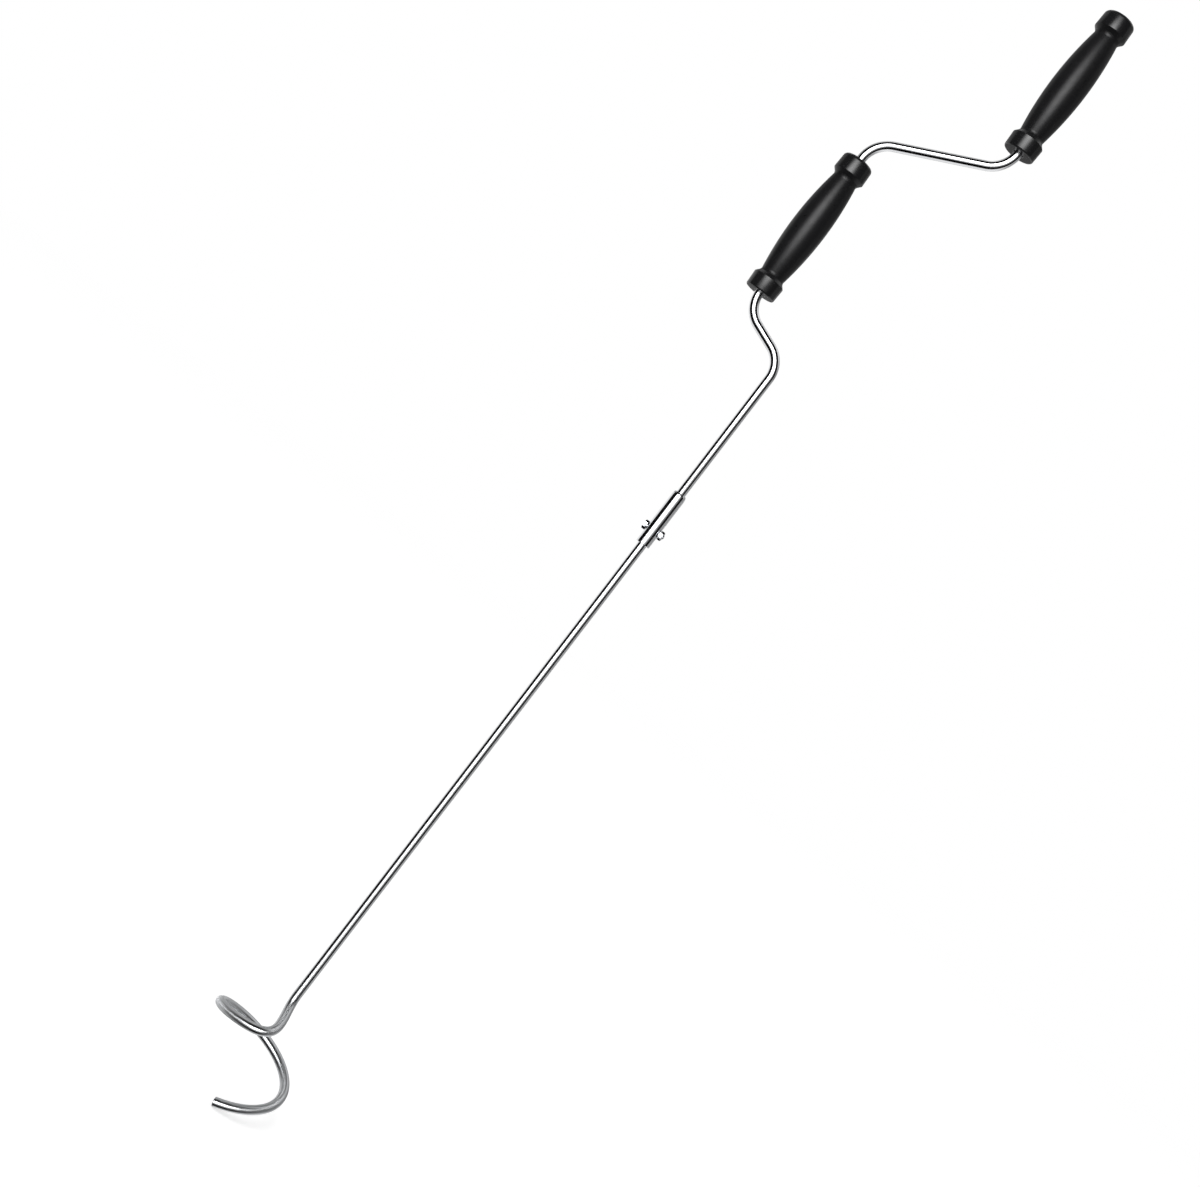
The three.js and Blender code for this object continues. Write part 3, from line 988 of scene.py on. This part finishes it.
def light_panel(tree, direction, right, up, back):
    """An oval panel in the tent's bright front, leaning back and fading out to its rim."""
    turn = -11
    lean = -15
    half_width = math.radians(34)
    half_height = math.radians(25)
    across = turned_by(turn, up, right).normalized()
    upward = turned_by(lean, across, Vector((0, 0, 1)))
    facing = turned_by(turn, up, back)
    sideways, aloft, ahead = [
        add_node(
            tree, "VectorMath", {"operation": "DOT_PRODUCT"}, {1: axis},
            {0: direction}).outputs["Value"]
        for axis in (across / math.sin(half_width), upward / math.sin(half_height), facing)]
    oval = add_node(tree, "CombineXYZ", links={"X": sideways, "Y": aloft})
    outward = add_node(tree, "VectorMath", {"operation": "DOT_PRODUCT"}, links={0: oval, 1: oval})
    fade = add_node(
        tree, "Math", {"operation": "SUBTRACT", "use_clamp": True}, {0: 1},
        {1: outward.outputs["Value"]})
    soft = add_node(tree, "Math", {"operation": "POWER"}, {1: 2}, {0: fade})
    in_front = add_node(tree, "Math", {"operation": "GREATER_THAN"}, {1: 0}, {0: ahead})
    return add_node(tree, "Math", {"operation": "MULTIPLY"}, links={0: soft, 1: in_front})


def studio_world(stage):
    """White to the camera and an even light on matt surfaces. A mirror sees a light tent: a
    bright front with a brighter panel in it, a dark frame round that, and white walls behind."""
    tent_light = 1.25
    panel_light = 17
    even_light = 0.72
    world = bpy.data.worlds.new("light_tent")
    bpy.context.scene.world = world
    world.use_nodes = True
    tree = world.node_tree
    tree.nodes.clear()
    right, up, back = camera_axes(stage)
    direction = add_node(tree, "TexCoord").outputs["Generated"]

    # The front is a crisp disc left of the camera, and a glow that fades out past it on the right
    front = turned_by(-11, up, back)
    beside = turned_by(8, up, back)
    core = add_node(tree, "Math", {"operation": "MAXIMUM"}, links={
        0: ring(tree, direction, front, (30, 1), (34, 0)),
        1: ring(tree, direction, beside, (0, 0.9), (12, 0.8), (27, 0.3), (38, 0.04), (44, 0)),
    })
    # The walls have a grey belt above eye level, and a grey patch on the right and one behind
    shades = [
        (Vector((0, 0, 1)), (45, 1), (54, 0.42), (76, 0.42), (83, 1)),
        (turned_by(110, up, back), (20, 0.36), (34, 1)),
        (turned_by(-14, right, -back), (11, 0.25), (19, 1)),
    ]
    # They have a dark gap wherever a slanting front flat of the nut, or its end, mirrors them
    slant = math.radians(60)
    flats = (
        (Vector((0, -math.cos(slant), math.sin(slant))), 12),
        (Vector((0, -math.cos(slant), -math.sin(slant))), 12),
        (Vector((1, 0, 0)), 7),
    )
    fade = 6
    for flat, reach in flats:
        mirrored = flat * 2 * flat.dot(back) - back
        shades.append((mirrored, (reach, 0), (reach + fade, 1)))
    walls = ring(tree, direction, front, (91, 0), (96, 1))
    for axis, *stops in shades:
        shade = ring(tree, direction, axis, *stops)
        walls = add_node(tree, "Math", {"operation": "MULTIPLY"}, links={0: walls, 1: shade})

    both = add_node(tree, "Math", {"operation": "ADD"}, links={0: core, 1: walls})
    tent = add_node(tree, "Math", {"operation": "MULTIPLY"}, {1: tent_light}, {0: both})
    level = add_node(
        tree, "Math", {"operation": "MULTIPLY_ADD"}, {1: panel_light},
        {0: light_panel(tree, direction, right, up, back), 2: tent})
    mirror = add_node(tree, "Background", links={"Strength": level})
    even = add_node(tree, "Background", values={"Color": WHITE, "Strength": even_light})
    white = add_node(tree, "Background", values={"Color": WHITE, "Strength": 1})
    ray = add_node(tree, "LightPath")
    seen = add_node(tree, "MixShader", links={0: ray.outputs["Is Glossy Ray"], 1: even, 2: mirror})
    shown = add_node(tree, "MixShader", links={0: ray.outputs["Is Camera Ray"], 1: seen, 2: white})
    add_node(tree, "OutputWorld", links={"Surface": shown})


def studio_floor(stage):
    """A pale matt floor that shows white to the camera but for the tool's shadow."""
    size = 12
    glow_strength = 0.54
    bpy.ops.mesh.primitive_plane_add(size=size, location=(0, 0, 0))
    floor = bpy.context.object
    floor.name = "studio_floor"
    floor.visible_glossy = False
    material = bpy.data.materials.new("painted_studio_floor")
    material.use_nodes = True
    tree = material.node_tree
    tree.nodes.clear()
    paint = add_node(tree, "BsdfDiffuse", values={"Color": (*stage.floor_colour, 1)})
    glow = add_node(tree, "Emission", values={"Color": WHITE, "Strength": glow_strength})
    dark = add_node(tree, "Emission", values={"Strength": 0})
    ray = add_node(tree, "LightPath")
    camera_glow = add_node(
        tree, "MixShader", links={0: ray.outputs["Is Camera Ray"], 1: dark, 2: glow})
    both = add_node(tree, "AddShader", links={0: paint, 1: camera_glow})
    add_node(tree, "OutputMaterial", links={"Surface": both})
    floor.data.materials.append(material)


def overhead_lamp():
    """A square lamp above the front, aimed at the tool's middle. Mirrors don't show it."""
    place = Vector((-0.6, -1.2, 2.6))
    middle = Vector((0, 0, CRANK_HIGH.z / 2))
    size = 1.6
    power = 17
    bpy.ops.object.light_add(type="AREA", location=place)
    lamp = bpy.context.object
    lamp.name = "overhead_lamp"
    lamp.data.shape = "SQUARE"
    lamp.data.size = size
    lamp.data.energy = power
    lamp.visible_glossy = False
    lamp.rotation_euler = (middle - place).to_track_quat("-Z", "Y").to_euler()


class AERATOR_OT_stage(bpy.types.Operator):
    """Sets up the studio: camera, light tent, floor and lamp"""

    bl_idname = "aerator.stage"
    bl_label = "Studio"

    def execute(self, context):
        stage = context.scene.aerator_stage
        bpy.ops.object.select_all(action="DESELECT")
        place_camera(stage)
        studio_world(stage)
        studio_floor(stage)
        overhead_lamp()
        context.scene.view_settings.view_transform = "Standard"
        return {"FINISHED"}


class AERATOR_PT_panel(bpy.types.Panel):
    """Sizes, colours and steps of the compost aerator"""

    bl_idname = "AERATOR_PT_panel"
    bl_label = "Compost Aerator"
    bl_space_type = "VIEW_3D"
    bl_region_type = "UI"
    bl_category = "Aerator"

    def draw(self, context):
        for operator in OPERATORS:
            self.layout.operator(operator.bl_idname)
        for name, group in GROUPS.items():
            box = self.layout.box()
            box.label(text=name.replace("_", " ").title())
            for setting in group.__annotations__:
                box.prop(getattr(context.scene, name), setting)


OPERATORS = (
    AERATOR_OT_auger_rod,
    AERATOR_OT_crank_rod,
    AERATOR_OT_coupling_sleeve,
    AERATOR_OT_coupling_bolt,
    AERATOR_OT_grips,
    AERATOR_OT_retainer,
    AERATOR_OT_stage,
)
CLASSES = (*GROUPS.values(), *OPERATORS, AERATOR_PT_panel)


def register():
    for item in CLASSES:
        bpy.utils.register_class(item)
    for name, group in GROUPS.items():
        setattr(bpy.types.Scene, name, PointerProperty(type=group))


def unregister():
    for name in GROUPS:
        delattr(bpy.types.Scene, name)
    for item in reversed(CLASSES):
        bpy.utils.unregister_class(item)


def main():
    register()
    bpy.ops.aerator.auger_rod()
    bpy.ops.aerator.crank_rod()
    bpy.ops.aerator.coupling_sleeve()
    bpy.ops.aerator.coupling_bolt()
    bpy.ops.aerator.grips()
    bpy.ops.aerator.retainer()
    bpy.ops.aerator.stage()


if __name__ == "__main__":
    main()
